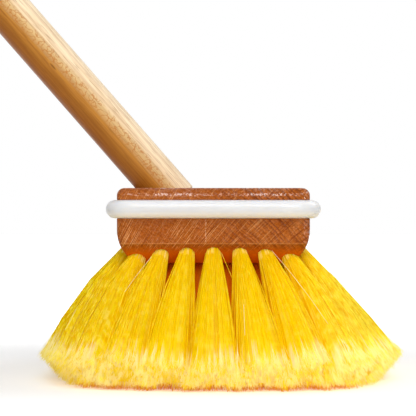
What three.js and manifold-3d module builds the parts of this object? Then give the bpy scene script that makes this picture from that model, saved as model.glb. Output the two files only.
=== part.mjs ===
// Deck brush: a hardwood block with rings of flared bristle tufts, a white bumper cord let into its rim
// and a long round handle set in a slanted socket. Millimetres, +Z up, X across the block, Y along it.
// The bristle tips stand on z = 0, and the origin is on the floor under the middle of the block.
import * as THREE from 'three';
import { mergeGeometries, mergeVertices } from 'three/addons/utils/BufferGeometryUtils.js';
import Module from 'manifold-3d';

const wasm = await Module();
wasm.setup();

// Block: a moulded plank, cut to length and bevelled under both ends
const BLOCK_WIDTH = 100;
const BLOCK_LENGTH = 200;
const BLOCK_THICKNESS = 39;
const SIDE_FILLET = 3.8;
const END_FILLET = 5.6;
const CORNER_RADIUS = 3.5;
const BELLY_HEIGHT = 17;
const BELLY_INSET = 9.5;
const BEVEL_HEIGHT = 10;
const BEVEL_INSET = 10;

// Bumper: a round cord in a groove round the block
const CORD_DIAMETER = 9.5;
const CORD_OVERHANG = 1.2;
const CORD_DROP = 11;
const CORD_BEND = 9;

// Handle: a round stick with a chamfered shoulder, a tapered spigot below it and a domed free end
const HANDLE_DIAMETER = 25;
const HANDLE_LENGTH = 1200;
const HANDLE_PITCH = THREE.MathUtils.degToRad(48.8);
const HANDLE_SETBACK = 23.5;
const HANDLE_DOME = 9;
const SHOULDER_DEPTH = 9.5;
const SHOULDER_CHAMFER = 1.2;
const SPIGOT_DIAMETER = 19;
const SPIGOT_TAPER = THREE.MathUtils.degToRad(2);
const SPIGOT_CHAMFER = 1;
const SOCKET_FLOOR_WALL = 4;

// Bristles: rings of tufts, a few thick strands standing for each tuft's filaments
const TRIM_HEIGHT = 64;
const RIM_INSET = 6.5;
const RING_CORNER = 12;
const TUFT_PITCH = 13.2;
const STRAND_PITCH = 3.2;
const STRAND_ROOT_RADIUS = 1.3;
const STRAND_TIP_RADIUS = 2.2;
const STRAND_ROOT_COVER = 1;
const OUTER_LEAN = 40.5;
const RIGHT_FLARE = 7.5;
const STRAND_BOW = 0.05;
const OUTER_TIP_RISE = 13;
const FLOOR_CUT = 0.5;

// Each strand's place in its tuft, along the ring and outwards, in half strand pitches
const RING_TUFT = [[-1, -1], [-1, 1], [1, -1], [1, 1]];
const SPINE_TUFT = [[0, -2], [0, 0], [0, 2]];

// Clearances between pieces
const FIT_GAP = 0.3;
const SLICE_GAP = 0.3;
const SOCKET_END_GAP = 1;

// Facets
const ARC_STEPS = 6;
const ROUND_SIDES = 32;
const CORD_SIDES = 14;
const CORD_RING_STEPS = 32;
const OUTER_STRAND_STEPS = 2;
const INNER_STRAND_STEPS = 1;

const UNDERSIDE = TRIM_HEIGHT;
const BLOCK_TOP = UNDERSIDE + BLOCK_THICKNESS;
const SPLIT = UNDERSIDE + BEVEL_HEIGHT;
const HALF_WIDTH = BLOCK_WIDTH / 2;
const HALF_LENGTH = BLOCK_LENGTH / 2;

// The rings step in from the rim by equal amounts until they close on a middle row, the spine.
const INNER_RINGS = 2;
const RING_HALF_WIDTH = HALF_WIDTH - RIM_INSET;
const RING_STEP = RING_HALF_WIDTH / (INNER_RINGS + 1);
const SPINE_HALF_LENGTH = HALF_LENGTH - RIM_INSET - RING_HALF_WIDTH;

// The tightest thing under the handle is its spigot's low corner, which keeps a wall above the tufts.
const SPIGOT_RADIUS = SPIGOT_DIAMETER / 2;
const SOCKET_ROOM = BLOCK_TOP - SPLIT - SOCKET_FLOOR_WALL - SOCKET_END_GAP;
const SPIGOT_END = (SOCKET_ROOM - SPIGOT_RADIUS * Math.cos(HANDLE_PITCH)) / Math.sin(HANDLE_PITCH);
const SPIGOT_END_RADIUS = SPIGOT_RADIUS - (SPIGOT_END - SHOULDER_DEPTH) * Math.tan(SPIGOT_TAPER);

// Solids and meshes

function toSolid(geometry) {
  const bare = geometry.clone();
  bare.deleteAttribute('normal');
  bare.deleteAttribute('uv');
  const merged = mergeVertices(bare);
  const corners = [];
  for (let i = 0; i < merged.index.count; i += 3) {
    const [a, b, c] = merged.index.array.slice(i, i + 3);
    if (a !== b && b !== c && c !== a) {
      corners.push(a, b, c);
    }
  }
  const triVerts = Uint32Array.from(corners);
  const vertProperties = merged.attributes.position.array;
  return new wasm.Manifold(new wasm.Mesh({ numProp: 3, vertProperties, triVerts }));
}

function toMesh(name, solid, look) {
  const { vertProperties, triVerts } = solid.getMesh();
  const geometry = new THREE.BufferGeometry();
  geometry.setAttribute('position', new THREE.BufferAttribute(Float32Array.from(vertProperties), 3));
  geometry.setIndex(new THREE.BufferAttribute(Uint32Array.from(triVerts), 1));
  geometry.computeVertexNormals();
  const mesh = new THREE.Mesh(geometry, new THREE.MeshStandardMaterial(look));
  mesh.name = name;
  return mesh;
}

function roundedRectangle(halfX, halfY, corner) {
  const outline = new THREE.Shape();
  outline.moveTo(0, -halfY);
  outline.lineTo(halfX - corner, -halfY);
  outline.absarc(halfX - corner, corner - halfY, corner, -Math.PI / 2, 0);
  outline.absarc(halfX - corner, halfY - corner, corner, 0, Math.PI / 2);
  outline.absarc(corner - halfX, halfY - corner, corner, Math.PI / 2, Math.PI);
  outline.absarc(corner - halfX, corner - halfY, corner, Math.PI, 1.5 * Math.PI);
  outline.lineTo(0, -halfY);
  return outline;
}

function prism(outline, depth) {
  return new THREE.ExtrudeGeometry(outline, { depth, curveSegments: ARC_STEPS, bevelEnabled: false });
}

function slab(outline, bottom, top) {
  return toSolid(prism(outline, top - bottom).translate(0, 0, bottom));
}

// A round cord closed into a rounded rectangle: a torus pulled apart into its four corner bends.
function cordRing(halfX, halfY, bend, radius) {
  const halfStep = Math.PI / CORD_RING_STEPS;
  const ring = new THREE.TorusGeometry(bend / Math.cos(halfStep), radius, CORD_SIDES, CORD_RING_STEPS);
  ring.rotateZ(halfStep);
  const place = ring.attributes.position;
  for (let i = 0; i < place.count; i += 1) {
    const x = place.getX(i);
    const y = place.getY(i);
    place.setX(i, x + Math.sign(x) * (halfX - bend));
    place.setY(i, y + Math.sign(y) * (halfY - bend));
  }
  return ring;
}

// Block

// The plank's section: eased top edges, upright sides and a full belly towards the bristles.
function plankSection() {
  const bellyRadius = (BELLY_HEIGHT ** 2 + BELLY_INSET ** 2) / (2 * BELLY_INSET);
  const bellyTurn = Math.atan2(BELLY_HEIGHT, bellyRadius - BELLY_INSET);
  const bellyTop = UNDERSIDE + BELLY_HEIGHT;
  const filletX = HALF_WIDTH - SIDE_FILLET;
  const filletZ = BLOCK_TOP - SIDE_FILLET;
  const section = new THREE.Shape();
  section.absarc(HALF_WIDTH - bellyRadius, bellyTop, bellyRadius, -bellyTurn, 0);
  section.absarc(filletX, filletZ, SIDE_FILLET, 0, Math.PI / 2);
  section.absarc(-filletX, filletZ, SIDE_FILLET, Math.PI / 2, Math.PI);
  section.absarc(bellyRadius - HALF_WIDTH, bellyTop, bellyRadius, Math.PI, Math.PI + bellyTurn);
  return section;
}

// The block seen from its side: eased top edges and a flat bevel under each end.
function endSection() {
  const filletY = HALF_LENGTH - END_FILLET;
  const filletZ = BLOCK_TOP - END_FILLET;
  const section = new THREE.Shape();
  section.moveTo(BEVEL_INSET - HALF_LENGTH, UNDERSIDE);
  section.lineTo(HALF_LENGTH - BEVEL_INSET, UNDERSIDE);
  section.lineTo(HALF_LENGTH, SPLIT);
  section.absarc(filletY, filletZ, END_FILLET, 0, Math.PI / 2);
  section.absarc(-filletY, filletZ, END_FILLET, Math.PI / 2, Math.PI);
  section.lineTo(-HALF_LENGTH, SPLIT);
  return section;
}

function plank() {
  const alongY = new THREE.Matrix4().set(1, 0, 0, 0, 0, 0, -1, HALF_LENGTH, 0, 1, 0, 0, 0, 0, 0, 1);
  const alongX = new THREE.Matrix4().set(0, 0, 1, -HALF_WIDTH, 1, 0, 0, 0, 0, 1, 0, 0, 0, 0, 0, 1);
  const moulded = toSolid(prism(plankSection(), BLOCK_LENGTH).applyMatrix4(alongY));
  const bevelled = toSolid(prism(endSection(), BLOCK_WIDTH).applyMatrix4(alongX));
  const cornered = slab(roundedRectangle(HALF_WIDTH, HALF_LENGTH, CORNER_RADIUS), UNDERSIDE, BLOCK_TOP);
  return moulded.intersect(bevelled).intersect(cornered);
}

function groove() {
  const radius = CORD_DIAMETER / 2 + FIT_GAP;
  return toSolid(cordPath(radius).translate(0, 0, BLOCK_TOP - CORD_DROP));
}

function cordPath(radius) {
  return cordRing(HALF_WIDTH + CORD_OVERHANG, HALF_LENGTH + CORD_OVERHANG, CORD_BEND, radius);
}

// The socket is turned about the handle's axis: a wide seat for the shoulder over a tapered bore.
function socket() {
  const seat = HANDLE_DIAMETER / 2 + FIT_GAP;
  const mouth = HANDLE_DIAMETER;
  const profile = [
    new THREE.Vector2(0, -SPIGOT_END - SOCKET_END_GAP),
    new THREE.Vector2(SPIGOT_END_RADIUS + FIT_GAP, -SPIGOT_END - SOCKET_END_GAP),
    new THREE.Vector2(SPIGOT_RADIUS + FIT_GAP, -SHOULDER_DEPTH - FIT_GAP),
    new THREE.Vector2(seat, -SHOULDER_DEPTH - FIT_GAP),
    new THREE.Vector2(seat, mouth),
    new THREE.Vector2(0, mouth),
  ];
  return toSolid(new THREE.LatheGeometry(profile, ROUND_SIDES).applyMatrix4(handleFrame()));
}

// Where the handle's axis crosses the block's top, with +Y up along the handle.
function handleFrame() {
  const entry = new THREE.Vector3(HANDLE_SETBACK - HALF_WIDTH, 0, BLOCK_TOP);
  const axis = new THREE.Vector3(-Math.cos(HANDLE_PITCH), 0, Math.sin(HANDLE_PITCH));
  const turn = new THREE.Quaternion().setFromUnitVectors(new THREE.Vector3(0, 1, 0), axis);
  return new THREE.Matrix4().compose(entry, turn, new THREE.Vector3(1, 1, 1));
}

// Handle

function handleStick() {
  const radius = HANDLE_DIAMETER / 2;
  const end = HANDLE_LENGTH - SHOULDER_DEPTH;
  const dome = new THREE.EllipseCurve(0, end - HANDLE_DOME, radius, HANDLE_DOME, 0, Math.PI / 2);
  const profile = [
    new THREE.Vector2(0, -SPIGOT_END),
    new THREE.Vector2(SPIGOT_END_RADIUS - SPIGOT_CHAMFER, -SPIGOT_END),
    new THREE.Vector2(SPIGOT_END_RADIUS, SPIGOT_CHAMFER - SPIGOT_END),
    new THREE.Vector2(SPIGOT_RADIUS, -SHOULDER_DEPTH),
    new THREE.Vector2(radius - SHOULDER_CHAMFER, -SHOULDER_DEPTH),
    new THREE.Vector2(radius, SHOULDER_CHAMFER - SHOULDER_DEPTH),
    ...dome.getPoints(ARC_STEPS).slice(0, -1),
    new THREE.Vector2(0, end),
  ];
  return toSolid(new THREE.LatheGeometry(profile, ROUND_SIDES));
}

// Bristles

function spinePoint(point) {
  const y = THREE.MathUtils.clamp(point.y, -SPINE_HALF_LENGTH, SPINE_HALF_LENGTH);
  return new THREE.Vector2(0, y);
}

// The way a tuft leans: straight out from the spine, fanning round both ends of the block.
function outward(point) {
  const away = point.clone().sub(spinePoint(point));
  return away.length() > 0 ? away.normalize() : new THREE.Vector2(1, 0);
}

// Every other ring is turned by half a pitch, so that its tufts stand behind the gaps of the next.
function tuftPlaces(ring) {
  if (ring === 0) {
    const gaps = 2 * Math.round(SPINE_HALF_LENGTH / TUFT_PITCH);
    const spine = new THREE.LineCurve(
      new THREE.Vector2(0, -SPINE_HALF_LENGTH),
      new THREE.Vector2(0, SPINE_HALF_LENGTH),
    );
    return spine.getSpacedPoints(gaps);
  }
  const path = ringOutline(ring);
  const count = 4 * Math.round(path.getLength() / (4 * TUFT_PITCH));
  return path.getSpacedPoints(2 * count).filter((_, i) => (i + ring) % 2 === 1).slice(0, count);
}

function ringOutline(rank, gap = 0) {
  const away = RING_STEP * rank + gap;
  return roundedRectangle(away, SPINE_HALF_LENGTH + away, Math.min(RING_CORNER, away));
}

// The outer ring starts high, so that its tufts come out through the bevel and the belly.
function rootHeight(ring) {
  return ring > INNER_RINGS ? SPLIT - STRAND_ROOT_COVER : UNDERSIDE + STRAND_ROOT_COVER;
}

// One strand: a three-sided prism that widens from its root and bows out to its trimmed tip.
// All tips are trimmed on the floor but the outermost, which are cut square to their lean. The rings
// lean further out towards +X, the side away from the handle, where use has spread them.
function strand(centre, ring, alongSide, outSide) {
  const out = outward(centre);
  const side = new THREE.Vector2(-out.y, out.x);
  const root = centre.clone();
  root.addScaledVector(side, alongSide * STRAND_PITCH / 2);
  root.addScaledVector(out, outSide * STRAND_PITCH / 2);
  const cell = centre.clone();
  cell.addScaledVector(side, alongSide * TUFT_PITCH / 4);
  cell.addScaledVector(out, outSide * RING_STEP / 4);
  const rank = Math.abs(ring + outSide / 4);
  const lean = OUTER_LEAN * rank / (INNER_RINGS + 1);
  const spread = RIGHT_FLARE * Math.max(0, rank - 1) / INNER_RINGS * Math.max(0, outward(cell).x);
  const tip = cell.clone().addScaledVector(outward(cell), lean + spread);
  const tipHeight = rank > INNER_RINGS + 1 ? OUTER_TIP_RISE : -FLOOR_CUT;
  const start = new THREE.Vector3(root.x, root.y, rootHeight(ring));
  const end = new THREE.Vector3(tip.x, tip.y, tipHeight);
  const bow = start.clone().lerp(end, 0.5 + STRAND_BOW);
  bow.z = THREE.MathUtils.lerp(start.z, end.z, 0.5 - STRAND_BOW);
  const curve = new THREE.QuadraticBezierCurve3(start, bow, end);
  const steps = ring > INNER_RINGS ? OUTER_STRAND_STEPS : INNER_STRAND_STEPS;
  return bend(curve, steps, Math.atan2(out.y, out.x));
}

// The prism is drawn upright, from its tip to its root, and then laid along the strand's curve.
function bend(curve, steps, turn) {
  const corners = [0, 1, 2].map((i) => {
    const angle = turn + i * 2 * Math.PI / 3;
    return new THREE.Vector2(Math.cos(angle), Math.sin(angle));
  });
  const settings = { depth: 1, steps, bevelEnabled: false };
  const shaft = new THREE.ExtrudeGeometry(new THREE.Shape(corners), settings);
  const place = shaft.attributes.position;
  for (let i = 0; i < place.count; i += 1) {
    const t = 1 - place.getZ(i);
    const middle = curve.getPoint(t);
    const radius = THREE.MathUtils.lerp(STRAND_ROOT_RADIUS, STRAND_TIP_RADIUS, t);
    place.setXYZ(i, middle.x + radius * place.getX(i), middle.y + radius * place.getY(i), middle.z);
  }
  return shaft;
}

// A ring of tufts, fused to the part of the block's underside that holds it.
function tuftRing(base, ring) {
  const gap = SLICE_GAP / 2;
  let slice = base;
  if (ring <= INNER_RINGS) {
    slice = slice.intersect(slab(ringOutline(ring + 0.5, -gap), UNDERSIDE, SPLIT));
  }
  if (ring > 0) {
    slice = slice.subtract(slab(ringOutline(ring - 0.5, gap), UNDERSIDE, SPLIT));
  }
  const strands = [];
  for (const centre of tuftPlaces(ring)) {
    for (const [alongSide, outSide] of ring > 0 ? RING_TUFT : SPINE_TUFT) {
      strands.push(strand(centre, ring, alongSide, outSide));
    }
  }
  const reach = BLOCK_LENGTH + BLOCK_WIDTH;
  const floor = slab(roundedRectangle(reach, reach, RING_CORNER), -BLOCK_THICKNESS, 0);
  return slice.add(toSolid(mergeGeometries(strands))).subtract(floor);
}

// Assembly

const WOOD = { color: 0xa4602f, roughness: 0.55, metalness: 0 };
const PALE_WOOD = { color: 0xdcb07a, roughness: 0.45, metalness: 0 };
const WHITE_VINYL = { color: 0xececea, roughness: 0.35, metalness: 0 };
const YELLOW_BRISTLE = { color: 0xf2c80a, roughness: 0.4, metalness: 0 };

const brush = new THREE.Group();

const whole = plank();
const sideRoom = roundedRectangle(BLOCK_WIDTH, BLOCK_LENGTH, CORNER_RADIUS);
const upper = whole.intersect(slab(sideRoom, SPLIT, BLOCK_TOP + BLOCK_THICKNESS));
const lower = whole.intersect(slab(sideRoom, 0, SPLIT));
brush.add(toMesh('block', upper.subtract(groove()).subtract(socket()), WOOD));

const cord = toMesh('bumper_cord', toSolid(cordPath(CORD_DIAMETER / 2)), WHITE_VINYL);
cord.position.z = BLOCK_TOP - CORD_DROP;
brush.add(cord);

const RING_NAMES = ['bristles_middle', 'bristles_inner', 'bristles_second', 'bristles_outer'];
RING_NAMES.forEach((name, ring) => {
  brush.add(toMesh(name, tuftRing(lower, ring), YELLOW_BRISTLE));
});

const stick = new THREE.Group();
stick.applyMatrix4(handleFrame());
stick.add(toMesh('handle', handleStick(), PALE_WOOD));
brush.add(stick);

export default brush;
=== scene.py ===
import math
import random

import bmesh
import bpy
import numpy as np
from mathutils import Matrix, Vector


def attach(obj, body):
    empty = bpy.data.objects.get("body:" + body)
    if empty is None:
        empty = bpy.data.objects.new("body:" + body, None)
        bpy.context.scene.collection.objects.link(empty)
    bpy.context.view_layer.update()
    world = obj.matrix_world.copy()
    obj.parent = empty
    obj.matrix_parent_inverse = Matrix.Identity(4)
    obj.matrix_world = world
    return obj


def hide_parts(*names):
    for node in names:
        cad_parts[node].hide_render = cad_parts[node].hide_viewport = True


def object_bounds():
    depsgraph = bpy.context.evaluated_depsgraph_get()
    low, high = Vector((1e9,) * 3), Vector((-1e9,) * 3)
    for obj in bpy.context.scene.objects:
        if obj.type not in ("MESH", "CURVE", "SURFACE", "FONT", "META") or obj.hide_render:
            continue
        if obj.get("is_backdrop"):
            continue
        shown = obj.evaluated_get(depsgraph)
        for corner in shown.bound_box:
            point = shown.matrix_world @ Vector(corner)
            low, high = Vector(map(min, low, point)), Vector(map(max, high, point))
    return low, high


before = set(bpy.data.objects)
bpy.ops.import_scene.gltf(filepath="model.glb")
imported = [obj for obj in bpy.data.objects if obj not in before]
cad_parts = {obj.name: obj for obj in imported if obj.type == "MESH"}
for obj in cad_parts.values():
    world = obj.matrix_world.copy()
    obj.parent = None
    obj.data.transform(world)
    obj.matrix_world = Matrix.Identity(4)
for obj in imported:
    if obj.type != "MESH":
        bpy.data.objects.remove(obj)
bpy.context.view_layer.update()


# Block
# A plank of reddish tropical hardwood, end grain to the front, moulded round its edges, bevelled under
# both ends, grooved round the rim for the bumper and drilled for the tufts and the handle. A thin satin
# varnish leaves the pores and rays of the wood in slight relief.
block_half_width, block_half_length = 0.050, 0.100
block_bottom, block_top = 0.064, 0.103
corner_radius, side_fillet, end_fillet = 0.0035, 0.0038, 0.0056
belly_height, belly_inset, end_bevel = 0.017, 0.0095, 0.010
belly_radius = (belly_height ** 2 + belly_inset ** 2) / (2 * belly_inset)
cord_radius, cord_height, cord_overhang = 0.00475, 0.092, 0.0012
fit_gap = 0.0003
groove_radius = cord_radius + fit_gap
groove_lip = math.acos(cord_overhang / groove_radius)


def moulding(height):
    """A height with how far the long sides and the ends are cut back there."""
    below = max(0.0, block_bottom + belly_height - height)
    side = belly_radius - math.sqrt(belly_radius ** 2 - below ** 2)
    return height, side, max(0.0, block_bottom + end_bevel - height)


def eased(radius, height):
    """How far a rounded top edge is cut back at a height."""
    rise = max(0.0, height - block_top + radius)
    return radius - math.sqrt(max(0.0, radius ** 2 - rise ** 2))


levels = [moulding(block_bottom + end_bevel * n / 5) for n in range(6)]
levels += [moulding(block_bottom + end_bevel + (belly_height - end_bevel) * n / 4) for n in range(1, 5)]
for n in range(13):
    angle = groove_lip * (n / 6 - 1)
    inset = groove_radius * math.cos(angle) - cord_overhang
    levels.append((cord_height + groove_radius * math.sin(angle), inset, inset))
for n in range(13):
    height = block_top - end_fillet * (1 - math.sin(math.radians(7.5 * n)))
    levels.append((height, eased(side_fillet, height), eased(end_fillet, height)))


def of_kind(geom, kind):
    """The elements of one kind among those that an operator made."""
    return [g for g in geom if isinstance(g, kind)]


bm = bmesh.new()
bmesh.ops.create_grid(bm, x_segments=1, y_segments=1, size=1)
bmesh.ops.scale(bm, vec=(block_half_width, block_half_length, 1), verts=bm.verts[:])
bmesh.ops.bevel(bm, geom=bm.verts[:], offset=corner_radius, segments=8, profile=0.5,
                affect="VERTICES", material=-1)
face, last_side, last_end = bm.faces[:][0], 0.0, 0.0
# Extruding the face without its edges leaves a face inside the block at every level, where it can't be seen.
for n, (height, side, end) in enumerate(levels):
    if n:
        raised = bmesh.ops.extrude_face_region(bm, geom=[face])["geom"]
        face = of_kind(raised, bmesh.types.BMFace)[0]
    for v in face.verts:
        v.co.x -= (side - last_side) * math.copysign(1, v.co.x)
        v.co.y -= (end - last_end) * math.copysign(1, v.co.y)
        v.co.z = height
    last_side, last_end = side, end
bmesh.ops.recalc_face_normals(bm, faces=bm.faces[:])


def piece(name, bm, body):
    """A finished mesh as an object that rides on a body."""
    mesh = bpy.data.meshes.new(name)
    bm.to_mesh(mesh)
    bm.free()
    made = bpy.data.objects.new(name, mesh)
    bpy.context.scene.collection.objects.link(made)
    if body:
        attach(made, body)
    return made


def drill(target, bm):
    """Cuts a solid out of a piece."""
    tool = piece("drill", bm, None)
    cut = target.modifiers.new("cut", "BOOLEAN")
    cut.operation, cut.solver, cut.object = "DIFFERENCE", "EXACT", tool
    evaluated = target.evaluated_get(bpy.context.evaluated_depsgraph_get())
    mesh = bpy.data.meshes.new_from_object(evaluated)
    target.modifiers.clear()
    target.data = mesh
    bpy.data.objects.remove(tool)


def soften(target, crease):
    """Smooth shading that keeps flat faces flat and edges sharper than the crease crisp."""
    target.data.shade_smooth()
    target.data.set_sharp_from_angle(angle=math.radians(crease))
    weighted = target.modifiers.new("flats", "WEIGHTED_NORMAL")
    weighted.keep_sharp = True


block = piece("block_body", bm, "head")

spine_half_length, ring_step, ring_bend, tuft_pitch = 0.050, 0.0145, 0.012, 0.0132
hole_radius, hole_depth, hole_lean = 0.0035, 0.009, 11
end_row_y, end_row_half, row_sag = 0.088, 0.0435, 0.0024
outer_mouth_out, outer_mouth_height = 0.0026, 0.0696


def ring_places(rank):
    """Where the tufts of a ring stand in plan: evenly round a rounded rectangle, or along the middle."""
    if rank == 0:
        return [Vector((0, spine_half_length * n / 4, 0)) for n in range(-4, 5)]
    away = ring_step * rank
    bend = min(ring_bend, away)
    path = [Vector((0, -spine_half_length - away, 0))]
    for turn, (sx, sy) in enumerate(((1, -1), (1, 1), (-1, 1), (-1, -1))):
        centre = Vector((sx * (away - bend), sy * (spine_half_length + away - bend), 0))
        for step in range(13):
            angle = math.radians(90 * (turn - 1) + 7.5 * step)
            path.append(centre + bend * Vector((math.cos(angle), math.sin(angle), 0)))
    path.append(path[0])
    runs = [(b - a).length for a, b in zip(path, path[1:])]
    count = 4 * round(sum(runs) / (4 * tuft_pitch))
    places, gone, k = [], 0.0, 0
    for n in range(count):
        want = (n + (rank == 2) / 2) * sum(runs) / count
        while gone + runs[k] < want:
            gone += runs[k]
            k += 1
        places.append(path[k].lerp(path[k + 1], (want - gone) / max(runs[k], 1e-9)))
    return places


def outward(place):
    """The way a tuft leans in plan: away from the nearest point of the middle row."""
    y = max(-spine_half_length, min(spine_half_length, place.y))
    away = place - Vector((0, y, 0))
    return away.normalized() if away.length > 1e-6 else Vector((1, 0, 0))


def tuft_mouth(place, rank):
    """The middle of a tuft's hole where it opens, and the way the tuft points there."""
    out = outward(place)
    if rank < 3:
        lean = math.radians(hole_lean * rank)
        return place + Vector((0, 0, block_bottom)), out * math.sin(lean) - Vector((0, 0, math.cos(lean)))
    sag = row_sag * (place.x / end_row_half) ** 2 if abs(place.y) > end_row_y else 0.0
    mouth = place + out * (outer_mouth_out - sag) + Vector((0, 0, outer_mouth_height - sag))
    return mouth, (out - Vector((0, 0, 1))).normalized()


holes = bmesh.new()
for rank in range(4):
    for place in ring_places(rank):
        mouth, aim = tuft_mouth(place, rank)
        turn = aim.to_track_quat("Z", "Y").to_matrix().to_4x4()
        bmesh.ops.create_cone(holes, cap_ends=True, segments=20, radius1=hole_radius, radius2=hole_radius,
                              depth=2 * hole_depth, matrix=Matrix.Translation(mouth) @ turn)
drill(block, holes)


def turned(profile, steps, place):
    """A profile of (radius, height) pairs spun round its axis and put in place."""
    bm = bmesh.new()
    verts = [bm.verts.new((r, 0, h)) for r, h in profile]
    edges = [bm.edges.new(pair) for pair in zip(verts, verts[1:])]
    bmesh.ops.spin(bm, geom=verts + edges, cent=(0, 0, 0), axis=(0, 0, 1), dvec=(0, 0, 0),
                   angle=2 * math.pi, steps=steps, use_merge=True, use_duplicate=False)
    bmesh.ops.remove_doubles(bm, verts=bm.verts[:], dist=1e-6)
    bmesh.ops.recalc_face_normals(bm, faces=bm.faces[:])
    bmesh.ops.transform(bm, matrix=place, verts=bm.verts[:])
    return bm


tilt = math.radians(41.2)
handle_entry = -0.0265
handle_frame = Matrix.Translation((handle_entry, 0, block_top)) @ Matrix.Rotation(-tilt, 4, "Y")
handle_radius, shoulder_depth, spigot_radius, spigot_end = 0.0125, 0.0095, 0.0095, 0.0236
socket_end, socket_mouth = -spigot_end - 0.001, 0.03
drill(block, turned([(0, socket_end), (spigot_radius, socket_end), (spigot_radius + fit_gap, -shoulder_depth),
                     (handle_radius + fit_gap, -shoulder_depth), (handle_radius + fit_gap, socket_mouth),
                     (0, socket_mouth)], 64, handle_frame))
soften(block, 32)


def shade(r, g, b):
    """A screen colour in 0 to 255 as a linear one."""
    return (*(((c / 255 + 0.055) / 1.055) ** 2.4 if c > 10 else c / 3294.6 for c in (r, g, b)), 1.0)


def add(tree, kind, values=None, **settings):
    """A shader node with its settings, its values and its incoming links."""
    node = tree.nodes.new("ShaderNode" + kind)
    for name, value in settings.items():
        setattr(node, name, value)
    for key, value in (values or {}).items():
        if isinstance(value, bpy.types.NodeSocket):
            tree.links.new(value, node.inputs[key])
        else:
            node.inputs[key].default_value = value
    return node


def calc(tree, operation, a, b=0.0, c=0.0):
    """The result of a sum on values or sockets."""
    return add(tree, "Math", {0: a, 1: b, 2: c}, operation=operation).outputs[0]


def fade(tree, value, low, high, to_low=0.0, to_high=1.0):
    """A soft step from one value to another between two limits."""
    return add(tree, "MapRange", {"Value": value, "From Min": low, "From Max": high, "To Min": to_low,
                                  "To Max": to_high}, interpolation_type="SMOOTHSTEP").outputs[0]


def mix(tree, factor, a, b, way="MIX"):
    """Two colours mixed."""
    return add(tree, "Mix", {0: factor, 6: a, 7: b}, data_type="RGBA", blend_type=way).outputs[2]


def ramp(tree, value, *stops):
    """A value turned into a colour by (position, colour) stops."""
    node = add(tree, "ValToRGB", {0: value})
    ends = node.color_ramp.elements
    ends[0].position, ends[0].color = stops[0]
    ends[1].position, ends[1].color = stops[-1]
    for position, colour in stops[1:-1]:
        ends.new(position).color = colour
    return node.outputs[0]


def noise(tree, vector, scale, detail=2.0):
    """Soft noise at a position."""
    return add(tree, "TexNoise", {"Vector": vector, "Scale": scale, "Detail": detail}).outputs[0]


def stretched(tree, vector, x, y, z):
    """A position measured in other lengths along each axis."""
    return add(tree, "VectorMath", {0: vector, 1: (1 / x, 1 / y, 1 / z)}, operation="MULTIPLY").outputs[0]


def surface(name):
    """A new material with its node tree and its shader."""
    made = bpy.data.materials.new(name)
    made.use_nodes = True
    return made, made.node_tree, made.node_tree.nodes["Principled BSDF"]


# Timber's figure, measured from the pith with Z along the grain: yearly rings, the ray sheets that run
# out from the pith, the open pores and the fine fibre.
timber = bpy.data.node_groups.new("timber", "ShaderNodeTree")
timber.interface.new_socket("Position", in_out="INPUT", socket_type="NodeSocketVector")
for name in ("Pith Distance", "Ring Width", "Ray Width", "Ray Depth", "Ray Length"):
    timber.interface.new_socket(name, in_out="INPUT", socket_type="NodeSocketFloat")
for name in ("Ring", "Ray", "Pore", "Fibre", "Patch"):
    timber.interface.new_socket(name, in_out="OUTPUT", socket_type="NodeSocketFloat")
given = timber.nodes.new("NodeGroupInput").outputs
place = given["Position"]
wander = add(timber, "TexNoise", {"Vector": stretched(timber, place, 0.022, 0.022, 0.2), "Scale": 1.0,
                                  "Detail": 3.0}).outputs["Color"]
drift = add(timber, "VectorMath", {0: wander, 1: (0.5, 0.5, 0.5)}, operation="SUBTRACT").outputs[0]
bent = add(timber, "VectorMath", {0: drift, 1: (0.007, 0.007, 0.0), 2: place},
           operation="MULTIPLY_ADD").outputs[0]
axes = add(timber, "SeparateXYZ", {0: bent}).outputs
radius = calc(timber, "SQRT", calc(timber, "MULTIPLY_ADD", axes[0], axes[0],
                                   calc(timber, "MULTIPLY", axes[1], axes[1])))
years = calc(timber, "DIVIDE", radius, given["Ring Width"])
uneven = add(timber, "TexNoise", {"W": years, "Scale": 0.45, "Detail": 1.0}, noise_dimensions="1D").outputs[0]
ring = calc(timber, "FRACT", calc(timber, "MULTIPLY_ADD", uneven, 1.6, years))
plain = add(timber, "SeparateXYZ", {0: place}).outputs
arc = calc(timber, "MULTIPLY", calc(timber, "ARCTAN2", plain[1], plain[0]), given["Pith Distance"])
sheet = add(timber, "CombineXYZ", {0: calc(timber, "DIVIDE", arc, given["Ray Width"]),
                                   1: calc(timber, "DIVIDE", radius, given["Ray Depth"]),
                                   2: calc(timber, "DIVIDE", plain[2], given["Ray Length"])}).outputs[0]
rays = fade(timber, noise(timber, sheet, 1.0, 0.5), 0.59, 0.67)
pores = fade(timber, noise(timber, stretched(timber, bent, 0.00042, 0.00042, 0.008), 1.0, 0.0), 0.62, 0.72)
fibre = noise(timber, stretched(timber, bent, 0.0009, 0.0009, 0.03), 1.0, 3.0)
patch = noise(timber, stretched(timber, place, 0.016, 0.016, 0.09), 1.0, 2.0)
add_out = timber.nodes.new("NodeGroupOutput").inputs
for name, value in (("Ring", ring), ("Ray", rays), ("Pore", pores), ("Fibre", fibre), ("Patch", patch)):
    timber.links.new(value, add_out[name])


def figured(tree, pith, turn, **sizes):
    """A place measured from the pith, with the grain turned to Z, and the timber figure there."""
    spot = add(tree, "TexCoord").outputs["Object"]
    grain = add(tree, "Mapping", {"Vector": spot, "Location": pith, "Rotation": turn}, vector_type="TEXTURE")
    sizes = {name.replace("_", " ").title(): size for name, size in sizes.items()}
    return grain.outputs[0], add(tree, "Group", {"Position": grain.outputs[0], **sizes}, node_tree=timber).outputs


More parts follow.
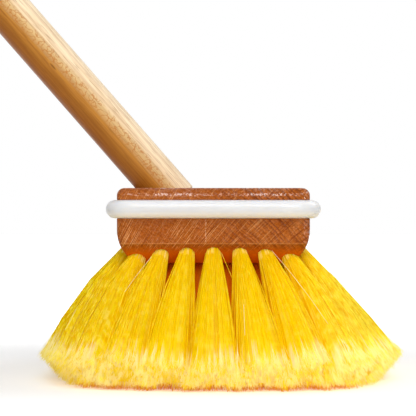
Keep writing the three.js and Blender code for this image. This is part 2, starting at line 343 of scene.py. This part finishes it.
paint, tree, shader = surface("block_varnished_wood")
_, figure = figured(tree, (-0.115, 0, -0.060), (math.radians(-90), 0, 0), pith_distance=0.18,
                    ring_width=0.0024, ray_width=0.0004, ray_depth=0.016, ray_length=0.004)
spot = add(tree, "SeparateXYZ", {0: add(tree, "TexCoord").outputs["Object"]}).outputs
colour = ramp(tree, figure["Ring"], (0.0, shade(181, 98, 26)), (0.45, shade(167, 84, 15)),
              (0.80, shade(106, 46, 7)), (1.0, shade(175, 94, 26)))
colour = mix(tree, fade(tree, spot[0], -0.015, 0.03, 0.75, 0.0), colour, shade(167, 86, 19))
colour = mix(tree, fade(tree, figure["Patch"], 0.35, 0.68, 0.0, 0.5), colour, shade(177, 100, 33))
colour = mix(tree, fade(tree, figure["Fibre"], 0.32, 0.66, 0.5, 0.0), colour, shade(114, 48, 7))
silver = calc(tree, "MULTIPLY", figure["Ray"], fade(tree, figure["Patch"], 0.40, 0.56, 0.3, 0.9))
silver = calc(tree, "MULTIPLY", silver, fade(tree, spot[0], 0.005, 0.035, 1.0, 0.3))
colour = mix(tree, silver, colour, shade(208, 143, 85))
_, finer = figured(tree, (-0.118, 0, -0.058), (math.radians(-90), 0, 0), pith_distance=0.18,
                   ring_width=0.0024, ray_width=0.00036, ray_depth=0.028, ray_length=0.004)
colour = mix(tree, calc(tree, "MULTIPLY", finer["Ray"], 0.6), colour, shade(112, 46, 7))
colour = mix(tree, calc(tree, "MULTIPLY", figure["Pore"], 0.25), colour, shade(97, 40, 7))
# Under the bevel the wood is painted orange, a painted reflection of the yellow light that the bristles throw up
# onto it.
bristle_bounce = fade(tree, spot[2], 0.0675, 0.0742, 1.0, 0.0)
colour = mix(tree, bristle_bounce, colour, shade(208, 97, 0))
# A thin pale line on the bevel's upper arris at both ends is a painted highlight.
arris_highlight = fade(tree, calc(tree, "ABSOLUTE", calc(tree, "SUBTRACT", spot[2], 0.0741)), 0.0002, 0.0006, 0.2, 0.0)
arris_highlight = calc(tree, "MULTIPLY", arris_highlight, fade(tree, calc(tree, "ABSOLUTE", spot[1]), 0.097, 0.0985))
colour = mix(tree, arris_highlight, colour, shade(212, 142, 71))
# A fine crack down the front end has filled with pale dust.
crack = calc(tree, "MULTIPLY_ADD", noise(tree, spot[2], 500.0, 1.0), 0.002, calc(tree, "ADD", spot[0], 0.0030))
crack = fade(tree, calc(tree, "ABSOLUTE", crack), 0.0001, 0.0004, 0.4, 0.0)
for mask in (fade(tree, spot[1], -0.0985, -0.097, 1.0, 0.0), fade(tree, spot[2], 0.0748, 0.0754),
             fade(tree, spot[2], 0.0862, 0.0868, 1.0, 0.0),
             fade(tree, noise(tree, spot[2], 900.0, 0.0), 0.42, 0.52)):
    crack = calc(tree, "MULTIPLY", crack, mask)
colour = mix(tree, crack, colour, shade(226, 176, 132))
tree.links.new(colour, shader.inputs["Base Color"])
tree.links.new(fade(tree, figure["Fibre"], 0.3, 0.7, 0.52, 0.38), shader.inputs["Roughness"])
shader.inputs["Specular IOR Level"].default_value = 0.06
# The varnish lies thicker in pools along the top edge and on the right corner.
pool = calc(tree, "COSINE", calc(tree, "MULTIPLY_ADD", spot[0], 135.4, 2.68))
pool = calc(tree, "MULTIPLY_ADD", figure["Patch"], 2.4, pool)
crown = calc(tree, "MULTIPLY", fade(tree, spot[2], 0.0972, 0.0985), fade(tree, pool, 0.9, 1.8, 0.8, 3.8))
crown = calc(tree, "ADD", crown, 1.0)
gloss = calc(tree, "MULTIPLY", fade(tree, figure["Fibre"], 0.48, 0.62, 0.01, 0.22), crown)
gloss = calc(tree, "MULTIPLY", gloss, fade(tree, bristle_bounce, 0.0, 0.7, 1.0, 0.0))
gloss = calc(tree, "MULTIPLY", gloss, fade(tree, spot[0], 0.0460, 0.0470, 1.0, 3.0))
gloss = calc(tree, "MINIMUM", gloss, 0.8)
tree.links.new(gloss, shader.inputs["Coat Weight"])
shader.inputs["Coat Roughness"].default_value = 0.16
shader.inputs["Coat IOR"].default_value = 1.8
relief = calc(tree, "SUBTRACT", calc(tree, "MULTIPLY", figure["Fibre"], 0.7), figure["Pore"])
bump = add(tree, "Bump", {"Strength": 0.18, "Distance": 0.0003, "Height": relief})
tree.links.new(bump.outputs[0], shader.inputs["Normal"])
block.data.materials.clear()
block.data.materials.append(paint)
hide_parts("block")


# Tufts
# Each tuft is a bunch of fine yellow polymer filaments, folded in half and stapled into its hole. Packed
# tight at its core and loose outside, it fans out to a trimmed end, the outer ring trimmed on a slant,
# and the tips are split into pale soft ends.
chance = random.Random(11)
filament_radius = 0.00019
ring_lean = (0.0, 0.0135, 0.0265, 0.0365)
right_flare = (0.0, 0.0, 0.003, 0.0088)
corner_tuck = (0.0, 0.0, 0.004, 0.009)
cell_depth = (0.0140, 0.0145, 0.0145, 0.0122)
ring_filaments = (120, 140, 160, 235)
ring_nodes = ("bristles_middle", "bristles_inner", "bristles_second", "bristles_outer")
golden_turn, crowding, squareness = 2.39996, 0.36, -0.7
hole_fill, root_depth, floor_clear = 0.93, 0.004, 0.0002
loose_from, bend_from = 0.78, 0.72
fluff_from = (0.90, 0.92, 0.94, 0.96, 0.97)
# Stray hairs by tuft: how far across it each ends, and where along it the hair starts and stops.
strays = {1: (-0.9, 0.55, 0.8), 2: (1.35, 0.06, 0.74), 7: (-1.2, 0.3, 0.7), 13: (1.2, 0.1, 0.5),
          19: (1.3, 0.1, 0.7), 22: (-1.3, 0.4, 0.8), 28: (-1.1, 0.2, 0.6), 35: (1.2, 0.3, 0.8),
          38: (-1.2, 0.12, 0.45)}
stray_seed = 0.9951
core_sides, core_cuts = 24, (0.03, 0.2, 0.4, 0.6, 0.78, 0.955, 0.975)
core_width, core_spread, core_close = 0.74, 0.88, 0.4


class Tuft:
    """One tuft: where it stands, the way it leans and how wide it fans at the tips."""

    def __init__(self, rank, place, end, width):
        self.rank, self.end, self.width = rank, end, width
        self.out = outward(place)
        self.side = Vector((-self.out.y, self.out.x, 0))
        self.mouth, self.aim = tuft_mouth(place, rank)
        self.across = self.side.cross(self.aim)
        if self.across.dot(self.out) < 0:
            self.across.negate()
        self.phase = chance.random()

    def bend(self, u, v, fan_u, fan_v, lift):
        """Root, knee and tip of the filament that starts at (u, v) in the hole and fans out to another place."""
        root = self.mouth + (self.across * u + self.side * v) * (hole_radius * hole_fill) - self.aim * root_depth
        if self.rank == 3:
            slant = 0.0125 + 0.001 * max(0.0, self.out.x) + 0.008 * abs(self.out.x * self.out.y)
            lift += max(0.0, fan_u + 0.02) * slant
        tip = self.end + self.out * (fan_u * cell_depth[self.rank]) + self.side * (fan_v * self.width)
        tip.z += lift
        run = Vector((tip.x - root.x, tip.y - root.y, 0))
        knee = root + run * (0.615 - 0.075 * self.out.x) + Vector((0, 0, (tip.z - root.z) * 0.46))
        return root, knee, tip

    def seed(self, fan_u, fan_v):
        """A filament's number: under 0.1 in the inner rings, then by its place round the tuft, from 0.1 for those
        that end on the floor at the block's two ends and from 0.55 for the others."""
        if self.rank < 3:
            return 0.1 * chance.random()
        turn = (self.phase + math.atan2(fan_v, fan_u) / (4 * math.pi)) % 1
        return (0.1 if fan_u < 0.08 * chance.random() and abs(self.out.y) > 0.6 else 0.55) + 0.449 * turn


def bowed(root, knee, tip, t):
    """A point on the curve from a root to a tip that bends towards a knee."""
    return root * (1 - t) ** 2 + knee * (2 * t * (1 - t)) + tip * t ** 2


def swept(name, lines, body):
    """Thin filaments swept along lines. Their map runs from a start to 1 along each, with its seed across."""
    curve = bpy.data.curves.new(name, "CURVE")
    curve.dimensions, curve.bevel_depth, curve.bevel_resolution = "3D", filament_radius, 0
    for points, thick, _, _ in lines:
        spline = curve.splines.new("POLY")
        spline.points.add(len(points) - 1)
        spline.points.foreach_set("co", [x for p in points for x in (*p, 1.0)])
        spline.points.foreach_set("radius", thick)
    holder = bpy.data.objects.new(name, curve)
    mesh = bpy.data.meshes.new_from_object(holder)
    bpy.data.objects.remove(holder)
    bpy.data.curves.remove(curve)
    chart = mesh.uv_layers[0]
    chart.name = "OFBake"
    uv = np.empty(2 * len(mesh.loops), np.float32)
    chart.data.foreach_get("uv", uv)
    uv = uv.reshape(len(lines), -1, 2)
    starts = np.array([start for _, _, start, _ in lines])[:, None]
    uv[:, :, 0] = starts + (1 - starts) * uv[:, :, 0]
    uv[:, :, 1] = np.array([seed for _, _, _, seed in lines])[:, None]
    chart.data.foreach_set("uv", uv.ravel())
    mesh.name = name
    made = bpy.data.objects.new(name, mesh)
    bpy.context.scene.collection.objects.link(made)
    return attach(made, body)


def packed(bm, tuft):
    """The tight core of a tuft: a tube that follows its filaments and closes short of their tips."""
    low, high = (-0.35, 0.82) if tuft.rank == 3 else (-0.5, 0.5)
    middle, half = (low + high) / 2, (high - low) / 2
    guides, seeds, cuts = [], [], [cut * (1.0 if tuft.rank == 3 else 0.95) for cut in core_cuts]
    for n in range(core_sides):
        u, v = math.cos(2 * math.pi * n / core_sides), math.sin(2 * math.pi * n / core_sides)
        square = max(abs(u), abs(v)) ** squareness
        guides.append(tuft.bend(core_width * u, core_width * v, middle + half * u * square,
                                core_spread * v * square, 0.0))
        seeds.append(tuft.seed(middle + half * u, v))
    chart = bm.loops.layers.uv["OFBake"]
    ring = bmesh.ops.create_circle(bm, cap_ends=False, segments=core_sides, radius=1)["verts"]
    edges = list({e for v in ring for e in v.link_edges})
    heart = sum((bowed(*guide, cuts[-2]) for guide in guides), Vector()) / core_sides
    for cut, t in enumerate(cuts):
        if cut:
            made = bmesh.ops.extrude_edge_only(bm, edges=edges)["geom"]
            walls = of_kind(made, bmesh.types.BMFace)
            fresh = set(of_kind(made, bmesh.types.BMVert))
            edges = [e for e in of_kind(made, bmesh.types.BMEdge) if fresh.issuperset(e.verts)]
            ring = [next(e.other_vert(v) for e in v.link_edges if e.other_vert(v) in fresh) for v in ring]
        for guide, v in zip(guides, ring):
            v.co = bowed(*guide, t)
            if t == cuts[-1]:
                v.co = v.co.lerp(heart, core_close)
        if cut:
            order = {v: n for n, v in enumerate(ring)}
            for wall in walls:
                pair = sorted(order[v] for v in wall.verts if v in order)
                column = pair[1] if pair == [0, core_sides - 1] else pair[0]
                for loop in wall.loops:
                    loop[chart].uv = (cuts[cut - (loop.vert not in order)], seeds[column])
    cap = bmesh.ops.contextual_create(bm, geom=edges)["faces"][0]
    for loop in cap.loops:
        loop[chart].uv = (cuts[-1], seeds[0])


paint, tree, shader = surface("bristle_filament")
along = add(tree, "SeparateXYZ", {0: add(tree, "UVMap", uv_map="OFBake").outputs[0]}).outputs
seed = along[1]
inside = fade(tree, seed, 0.0995, 0.1, 1.0, 0.0)
floored = fade(tree, seed, 0.5495, 0.55, 1.0, 0.0)
luck, more_luck, last_luck = (calc(tree, "FRACT", calc(tree, "MULTIPLY", seed, k)) for k in (311.7, 83.9, 97.1))
colour = mix(tree, fade(tree, luck, 0.0, 0.35), shade(227, 202, 0), shade(240, 231, 0))
colour = mix(tree, fade(tree, luck, 0.8, 1.0, 0.0, 0.5), colour, shade(248, 242, 75))
# The tufts on the right are painted paler and more lemon, as painted light from the right, and towards both long
# sides the yellow turns more lemon.
beside = add(tree, "SeparateXYZ", {0: add(tree, "TexCoord").outputs["Object"]}).outputs[0]
colour = mix(tree, fade(tree, beside, 0.04, 0.10, 0.0, 0.75), colour, shade(232, 249, 140))
beside = calc(tree, "ABSOLUTE", beside)
colour = mix(tree, fade(tree, beside, 0.03, 0.08, 0.0, 0.4), colour, shade(228, 230, 40))
# The crimp of the filaments is painted as small glints, which are painted highlights, and dimples of painted
# shade that run on from one to the next, stronger towards the long sides.
crimp = noise(tree, add(tree, "CombineXYZ", {0: calc(tree, "MULTIPLY", along[0], 18.0),
                                             1: calc(tree, "MULTIPLY", seed, 180.0)}).outputs[0], 1.0, 1.0)
sharp = fade(tree, beside, 0.03, 0.08, 0.65, 1.9)
dimple_shade = calc(tree, "MULTIPLY", fade(tree, crimp, 0.36, 0.48, 0.45, 0.0), sharp)
colour = mix(tree, dimple_shade, colour, shade(224, 182, 0))
painted_glints = calc(tree, "MULTIPLY", fade(tree, crimp, 0.54, 0.62, 0.0, 0.5), sharp)
colour = mix(tree, painted_glints, colour, shade(252, 254, 112))
# Towards the root, under the block, the yellow is painted a little more orange, as painted shade.
colour = mix(tree, fade(tree, along[0], 0.0, 0.35, 0.4, 0.0), colour, shade(242, 214, 0))
# Painted glints dot the top of each tuft, where its filaments fold over.
bright = noise(tree, add(tree, "CombineXYZ", {0: calc(tree, "MULTIPLY", seed, 70.0)}).outputs[0], 1.0, 0.0)
fold_glints = calc(tree, "MULTIPLY", fade(tree, along[0], 0.075, 0.095, 1.0, 0.0),
            fade(tree, bright, 0.46, 0.58, 0.0, 1.0))
colour = mix(tree, fold_glints, colour, shade(255, 246, 150))
# What lies deep is seen by light that has crossed other filaments, so it is orange, most of all at its root.
depth = calc(tree, "MULTIPLY", inside, fade(tree, along[0], 0.15, 0.65, 0.95, 0.5))
depth = calc(tree, "MULTIPLY", depth, fade(tree, along[0], 0.86, 0.96, 1.0, 0.2))
colour = mix(tree, depth, colour, shade(240, 158, 0))
# The split tips are pale from a different place on each filament, a little less pale at the very end, and the
# ends that rest on the floor at the block's two ends are painted darker orange, as painted shade where they meet
# the floor.
pale_from = calc(tree, "MULTIPLY_ADD", more_luck, 0.16, 0.79)
pale = fade(tree, calc(tree, "SUBTRACT", along[0], pale_from), -0.03, 0.06)
pale = calc(tree, "MULTIPLY", pale, fade(tree, last_luck, 0.3, 0.5, 0.1, 1.0))
pale = calc(tree, "MULTIPLY", pale, fade(tree, along[0], 0.93, 1.0, 1.0, 0.8))
colour = mix(tree, pale, colour, shade(243, 237, 194))
rim = calc(tree, "MULTIPLY", floored, fade(tree, along[0], 0.970, 0.988, 0.0, 0.85))
colour = mix(tree, rim, colour, shade(216, 142, 0))
tree.links.new(colour, shader.inputs["Base Color"])
tree.links.new(fade(tree, pale, 0.0, 1.0, 0.36, 0.6), shader.inputs["Roughness"])
shader.inputs["Specular IOR Level"].default_value = 0.12
glow = mix(tree, pale, shade(248, 230, 0), shade(250, 245, 205))
glow = mix(tree, inside, glow, shade(250, 176, 0))
glow = mix(tree, rim, glow, shade(228, 164, 0))
through = add(tree, "BsdfTranslucent", {"Color": glow})
blend = add(tree, "MixShader", {0: 0.5, 1: shader.outputs[0], 2: through.outputs[0]})
# Lamplight that crosses a filament goes on with less blue and green, so that the gaps glow orange.
tint = mix(tree, pale, (0.85, 0.70, 0.07, 1.0), (0.95, 0.9, 0.6, 1.0))
passed = add(tree, "BsdfTransparent", {"Color": tint})
blend = add(tree, "MixShader", {0: add(tree, "LightPath").outputs["Is Shadow Ray"], 1: blend.outputs[0],
                                2: passed.outputs[0]})
tree.links.new(blend.outputs[0], tree.nodes["Material Output"].inputs["Surface"])
core_paint = paint.copy()
core_paint.name = "bristle_core"
core_paint.node_tree.nodes[tint.node.name].inputs[6].default_value = (0.76, 0.46, 0.02, 1.0)


def frayed(tip, spread, low, high):
    """A loose end near a tip, above the floor."""
    end = tip + Vector((chance.gauss(0, spread), chance.gauss(0, spread), chance.uniform(low, high)))
    end.z = max(end.z, floor_clear)
    return end


for rank in range(4):
    places = ring_places(rank)
    ends = []
    for place in places:
        out = outward(place)
        ends.append(place + out * (ring_lean[rank] + right_flare[rank] * max(0.0, out.x) -
                                   corner_tuck[rank] * abs(out.x * out.y)))
    strands, tips, fluff, cores = [], [], [], bmesh.new()
    cores.loops.layers.uv.new("OFBake")
    for n, place in enumerate(places):
        width = 0.0066 if rank == 0 else (ends[(n + 1) % len(ends)] - ends[n - 1]).length * 0.30
        tuft = Tuft(rank, place, ends[n], width)
        packed(cores, tuft)
        phase = chance.uniform(0, 6.28)
        for k in range(ring_filaments[rank]):
            reach = ((k + 0.5) / ring_filaments[rank]) ** crowding
            u, v = reach * math.cos(golden_turn * k + phase), reach * math.sin(golden_turn * k + phase)
            square = (max(abs(u), abs(v)) / reach) ** squareness
            fan_u, fan_v = u * square + chance.gauss(0, 0.07), v * square + chance.gauss(0, 0.08)
            if chance.random() < 0.012:
                fan_v += chance.uniform(-1.2, 1.2)
            rough = chance.uniform(0.9, 1.08)
            root, knee, tip = tuft.bend(u * rough, v * rough, max(-1.2, min(1.0, fan_u)), fan_v,
                                        chance.uniform(0.0002, 0.0010))
            knee += Vector((chance.gauss(0, 0.0005), chance.gauss(0, 0.0005), 0))
            strand_seed = tuft.seed(fan_u, fan_v)
            if reach > loose_from:
                strands.append(([bowed(root, knee, tip, t) for t in (0, 0.35, 0.7, 1)], (1, 1, 0.92, 0.5), 0.0,
                                strand_seed))
            else:
                tips.append(((bowed(root, knee, tip, bend_from), tip), (0.92, 0.5), bend_from, strand_seed))
            for t in (chance.uniform(0.76, 0.9), chance.uniform(0.76, 0.9)):
                end = frayed(tip, 0.0011, -0.0005, 0.001)
                tips.append(((bowed(root, knee, tip, t), end), (0.55, 0.3), t, strand_seed))
            if rank == 3 and fan_u > 0:
                for t in fluff_from:
                    end = frayed(tip, 0.0014, -0.0015, 0.0015)
                    fluff.append(((bowed(root, knee, tip, t), end), (0.55, 0.32), t, tuft.seed(fan_u, fan_v)))
        if rank == 3 and n in strays:
            fan_v, start, stop = strays[n]
            root, knee, tip = tuft.bend(0.95, 0.2, 1.1, fan_v, 0.0)
            knots = [bowed(root, knee, tip, start + (stop - start) * k / 3) for k in range(4)]
            fluff += [(pair, (0.7, 0.7), 0.9, stray_seed) for pair in zip(knots, knots[1:])]
    ring_name = ring_nodes[rank].split("_")[1]
    core = piece("cores_" + ring_name, cores, "head")
    core.data.shade_smooth()
    made = swept("tufts_" + ring_name, strands, "head")
    dressing = [core, made, swept("tips_" + ring_name, tips, "head")]
    if fluff:
        dressing.append(swept("fluff_" + ring_name, fluff, "head"))
    for part in dressing:
        part.visible_shadow = part in (core, made)
        part.data.materials.clear()
        part.data.materials.append(core_paint if part == core else paint)
    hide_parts(ring_nodes[rank])


# Bumper
# A round cord of white soft vinyl, pressed into the groove and welded into one ring. It stands proud of
# the block all round, so that it meets a hull or a wall first.
cord_bend, cord_sides = 0.009, 24
run_x = block_half_width + cord_overhang - cord_bend
run_y = block_half_length + cord_overhang - cord_bend
bm = bmesh.new()
ring = bmesh.ops.create_circle(bm, cap_ends=False, segments=cord_sides, radius=cord_radius,
                               matrix=Matrix.Translation((0, -run_y - cord_bend, cord_height)) @
                               Matrix.Rotation(math.radians(90), 4, "Y"))
edges = list({e for v in ring["verts"] for e in v.link_edges})
for turn, length in enumerate((run_x, 2 * run_y, 2 * run_x, 2 * run_y)):
    way = Matrix.Rotation(math.radians(90 * turn), 3, "Z") @ Vector((1, 0, 0))
    made = bmesh.ops.extrude_edge_only(bm, edges=edges)["geom"]
    bmesh.ops.translate(bm, vec=way * length, verts=of_kind(made, bmesh.types.BMVert))
    edges = [e for e in of_kind(made, bmesh.types.BMEdge)
             if abs((e.verts[1].co - e.verts[0].co).dot(way)) < 1e-6]
    corner = Vector(((run_x, -run_y), (run_x, run_y), (-run_x, run_y), (-run_x, -run_y))[turn]).to_3d()
    corner.z = cord_height
    edges = [e for e in edges if (sum((v.co for v in e.verts), Vector()) / 2 - corner).dot(way) > -1e-5]
    swung = bmesh.ops.spin(bm, geom=edges, cent=corner, axis=(0, 0, 1), dvec=(0, 0, 0),
                           angle=math.radians(90), steps=10, use_merge=False, use_duplicate=False)
    edges = of_kind(swung["geom_last"], bmesh.types.BMEdge)
made = bmesh.ops.extrude_edge_only(bm, edges=edges)["geom"]
bmesh.ops.translate(bm, vec=(run_x, 0, 0), verts=of_kind(made, bmesh.types.BMVert))
bmesh.ops.remove_doubles(bm, verts=bm.verts[:], dist=1e-5)
bmesh.ops.recalc_face_normals(bm, faces=bm.faces[:])
bumper = piece("bumper_ring", bm, "head")
soften(bumper, 60)

paint, tree, shader = surface("bumper_vinyl")
spot = add(tree, "TexCoord").outputs["Object"]
cloud = noise(tree, spot, 45.0, 3.0)
colour = mix(tree, fade(tree, cloud, 0.3, 0.7), shade(207, 207, 207), shade(212, 212, 212))
# The cord is painted cream along its underside, a painted reflection of the yellow bristles and the wood below
# it, and a little lighter along its top, as painted light.
height = add(tree, "SeparateXYZ", {0: spot}).outputs[2]
low = fade(tree, height, cord_height - 0.0040, cord_height - 0.0005, 1.0, 0.0)
colour = mix(tree, low, colour, shade(242, 235, 222))
top = fade(tree, height, cord_height + 0.0018, cord_height + 0.0036)
colour = mix(tree, top, colour, shade(222, 222, 224))
tree.links.new(colour, shader.inputs["Base Color"])
tree.links.new(fade(tree, cloud, 0.3, 0.7, 0.26, 0.36), shader.inputs["Roughness"])
shader.inputs["Subsurface Weight"].default_value = 0.8
shader.inputs["Subsurface Radius"].default_value = (1.0, 0.9, 0.75)
shader.inputs["Subsurface Scale"].default_value = 0.012
skin = add(tree, "Bump", {"Strength": 0.08, "Distance": 0.0003, "Height": noise(tree, spot, 160.0, 2.0)})
tree.links.new(skin.outputs[0], shader.inputs["Normal"])
bumper.data.materials.append(paint)
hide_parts("bumper_cord")


# Handle
# A round stick of pale close-grained wood, turned to a chamfered shoulder and a tapered spigot that is
# driven into the slanted socket. Its far end is turned to a dome and the whole is varnished.
handle_length, dome, chamfer = 1.2, 0.009, 0.0012
profile = [(0, -spigot_end), (spigot_radius - 0.0015, -spigot_end),
           (spigot_radius - 0.0006, -spigot_end + 0.001), (spigot_radius, -shoulder_depth),
           (handle_radius - chamfer, -shoulder_depth), (handle_radius, -shoulder_depth + chamfer)]
profile += [(handle_radius, handle_length * n / 24) for n in range(24)]
profile += [(handle_radius * math.cos(math.radians(a)), handle_length - shoulder_depth - dome +
             dome * math.sin(math.radians(a))) for a in range(0, 91, 10)]
profile[-1] = (0, profile[-1][1])
handle = piece("handle_stick", turned(profile, 72, handle_frame), "handle")
soften(handle, 32)

paint, tree, shader = surface("handle_varnished_wood")
pith_away, pith_back = 0.075, -0.025
grain, figure = figured(tree, handle_frame @ Vector((-pith_away, pith_back, 0)), (0, -tilt, 0),
                        pith_distance=0.079, ring_width=0.0032, ray_width=0.0005, ray_depth=0.0013,
                        ray_length=0.0022)
# Across the stick the colour is painted from brown on its lower left side to pale cream on its upper right:
# painted light and shade, with a painted sheen on the pale side.
across = add(tree, "SeparateXYZ", {0: grain}).outputs[0]
across = calc(tree, "MULTIPLY_ADD", across, 0.5 / handle_radius, 0.5 - 0.5 * pith_away / handle_radius)
wavy = calc(tree, "MULTIPLY_ADD", calc(tree, "SUBTRACT", figure["Patch"], 0.5), 0.15, across)
colour = ramp(tree, wavy, (0.05, shade(170, 101, 31)), (0.26, shade(165, 104, 32)), (0.40, shade(190, 128, 50)),
              (0.50, shade(186, 128, 52)), (0.62, shade(209, 174, 118)), (0.75, shade(243, 219, 182)),
              (0.95, shade(247, 227, 193)))
colour = mix(tree, fade(tree, figure["Ring"], 0.55, 0.95, 0.0, 0.25), colour, shade(164, 104, 44))
colour = mix(tree, fade(tree, figure["Fibre"], 0.35, 0.65, 0.45, 0.0), colour, shade(206, 184, 156), "MULTIPLY")
colour = mix(tree, calc(tree, "MULTIPLY", figure["Pore"], 0.35), colour, shade(124, 74, 26))
# Where the ray sheets lie flat in the surface they show as a lacy band of flecks along the stick.
lace = noise(tree, stretched(tree, grain, 0.0024, 0.0024, 0.0030), 1.0, 1.0)
lace = fade(tree, calc(tree, "ABSOLUTE", calc(tree, "SUBTRACT", lace, 0.5)), 0.0, 0.07, 1.0, 0.0)
band = calc(tree, "MULTIPLY", fade(tree, wavy, 0.42, 0.50), fade(tree, wavy, 0.64, 0.72, 1.0, 0.0))
colour = mix(tree, calc(tree, "MULTIPLY", band, 0.25), colour, shade(236, 202, 146))
colour = mix(tree, calc(tree, "MULTIPLY", band, calc(tree, "MULTIPLY", lace, 0.8)), colour, shade(180, 112, 46))
# One short dark slit in the grain, on the front.
slit = add(tree, "VectorMath", {0: grain, 1: (pith_away - 0.0021, 0.0127, 0.0928)},
           operation="SUBTRACT").outputs[0]
slit = add(tree, "VectorMath", {0: stretched(tree, slit, 0.0007, 0.005, 0.0032)}, operation="LENGTH").outputs[1]
colour = mix(tree, fade(tree, slit, 0.4, 1.0, 0.7, 0.0), colour, shade(104, 62, 26))
tree.links.new(colour, shader.inputs["Base Color"])
tree.links.new(fade(tree, figure["Fibre"], 0.3, 0.7, 0.42, 0.3), shader.inputs["Roughness"])
shader.inputs["Specular IOR Level"].default_value = 0.1
shader.inputs["Coat Weight"].default_value = 0.1
shader.inputs["Coat Roughness"].default_value = 0.4
bump = add(tree, "Bump", {"Strength": 0.12, "Distance": 0.0002, "Height": figure["Fibre"]})
tree.links.new(bump.outputs[0], shader.inputs["Normal"])
handle.data.materials.append(paint)
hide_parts("handle")


# Studio
# A pale paper floor and a white surround, with soft lamps above the camera, behind it, high on the right
# and, narrow, to the right of the camera. The camera is level and square to the end of the block.
def seen_rays(tree):
    """1 for the rays by which the camera sees a thing, straight or in a mirror, and 0 for other light."""
    rays = add(tree, "LightPath").outputs
    return calc(tree, "MAXIMUM", rays["Is Camera Ray"],
                calc(tree, "MAXIMUM", rays["Is Glossy Ray"], rays["Is Transmission Ray"]))


bm = bmesh.new()
bmesh.ops.create_grid(bm, x_segments=1, y_segments=1, size=6)
floor = piece("floor", bm, None)
floor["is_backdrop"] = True
paint, tree, shader = surface("floor_paper")
shader.inputs["Base Color"].default_value = shade(232, 232, 232)
shader.inputs["Roughness"].default_value = 0.9
seen = seen_rays(tree)
shader.inputs["Emission Color"].default_value = (1, 1, 1, 1)
away = add(tree, "VectorMath", {0: add(tree, "TexCoord").outputs["Object"]}, operation="LENGTH").outputs[1]
tree.links.new(calc(tree, "MULTIPLY", seen, fade(tree, away, 0.15, 0.6, 0.3, 1.0)),
               shader.inputs["Emission Strength"])
floor.data.materials.append(paint)

world = bpy.data.worlds.new("surround")
bpy.context.scene.world = world
world.use_nodes = True
tree = world.node_tree
seen = seen_rays(tree)
tree.nodes["Background"].inputs["Color"].default_value = (1, 1, 1, 1)
tree.links.new(fade(tree, seen, 0.0, 1.0, 0.28, 1.0), tree.nodes["Background"].inputs["Strength"])


def lamp(name, place, target, size, power, mirrored=True):
    """A square area lamp aimed at a point."""
    data = bpy.data.lights.new(name, "AREA")
    data.shape, data.size, data.energy = "SQUARE", size, power
    made = bpy.data.objects.new(name, data)
    made.visible_glossy = mirrored
    made.location = place
    made.rotation_euler = (Vector(target) - Vector(place)).to_track_quat("-Z", "Y").to_euler()
    bpy.context.scene.collection.objects.link(made)


lamp("key", (0.15, -1.2, 1.3), (0, 0, 0.08), 0.9, 15)
lamp("side", (1.45, 0.5, 1.35), (0, 0, 0.08), 1.0, 9.5)
lamp("strip", (0.95, -2.2, 0.35), (0, 0, 0.08), 0.35, 7)
lamp("fill", (-0.5, -2.2, 0.3), (0, 0, 0.08), 1.0, 16, mirrored=False)

camera = bpy.data.objects.new("camera", bpy.data.cameras.new("camera"))
camera.location = (-0.0028, -1.2, 0.0926)
camera.rotation_euler = (math.radians(90), 0, 0)
camera.data.lens, camera.data.sensor_width = 184.4, 36
camera.data.clip_start, camera.data.clip_end = 0.05, 50
bpy.context.scene.collection.objects.link(camera)
bpy.context.scene.camera = camera
bpy.context.scene.view_settings.view_transform = "Standard"

low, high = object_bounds()
